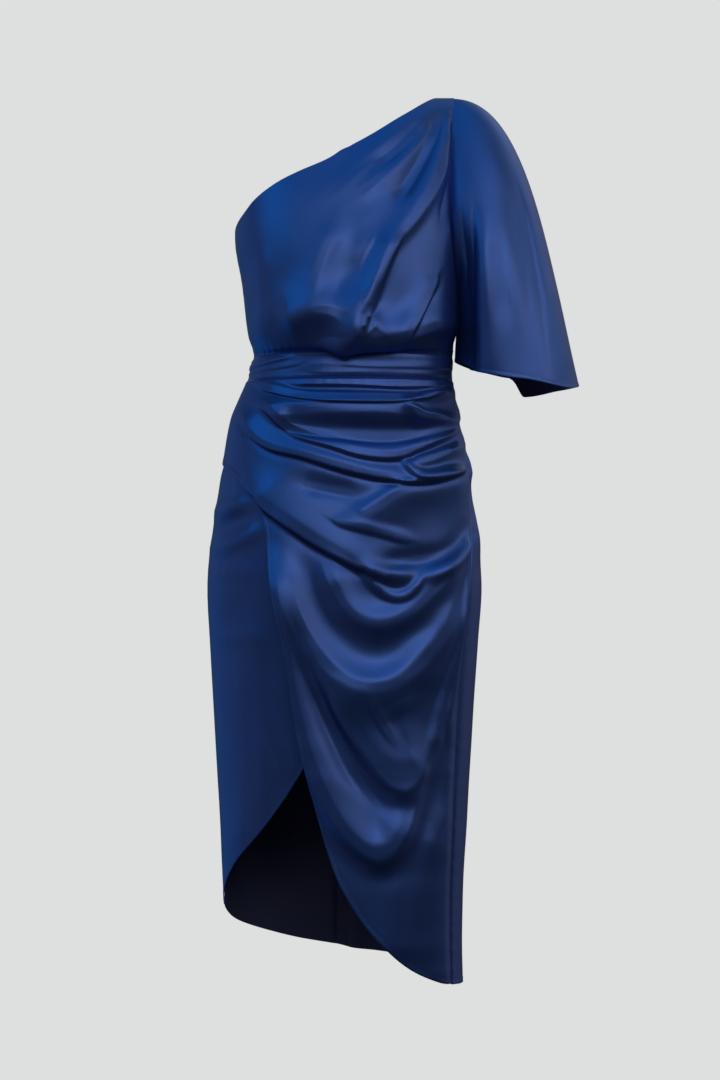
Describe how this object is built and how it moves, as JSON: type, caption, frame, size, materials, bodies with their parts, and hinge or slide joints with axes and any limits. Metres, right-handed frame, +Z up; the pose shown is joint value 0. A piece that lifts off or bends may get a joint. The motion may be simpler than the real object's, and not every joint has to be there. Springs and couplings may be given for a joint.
{
  "type": "one-shoulder dress",
  "caption": "Midi wrap dress in satin with one wide draped sleeve, a blouse-like bodice, a waistband and a draped, curved wrap skirt, in its worn form.",
  "frame": {"origin": "under the middle of the one shoulder seam, at its inner face, where the wearer's shoulder holds the dress", "axes": "+Z up, the front of the dress faces -Y, +X towards the sleeve"},
  "size_m": [0.5046, 0.2653, 1.2003],
  "materials": {
    "satin": "navy blue satin with a soft bright sheen and a dull inner side"
  },
  "bodies": {
    "root": {"bodice_front": "satin", "bodice_back": "satin", "sleeve": "satin", "waistband": "satin", "skirt_front_under": "satin", "skirt_front_over": "satin", "skirt_back": "satin"}
  },
  "joints": []
}
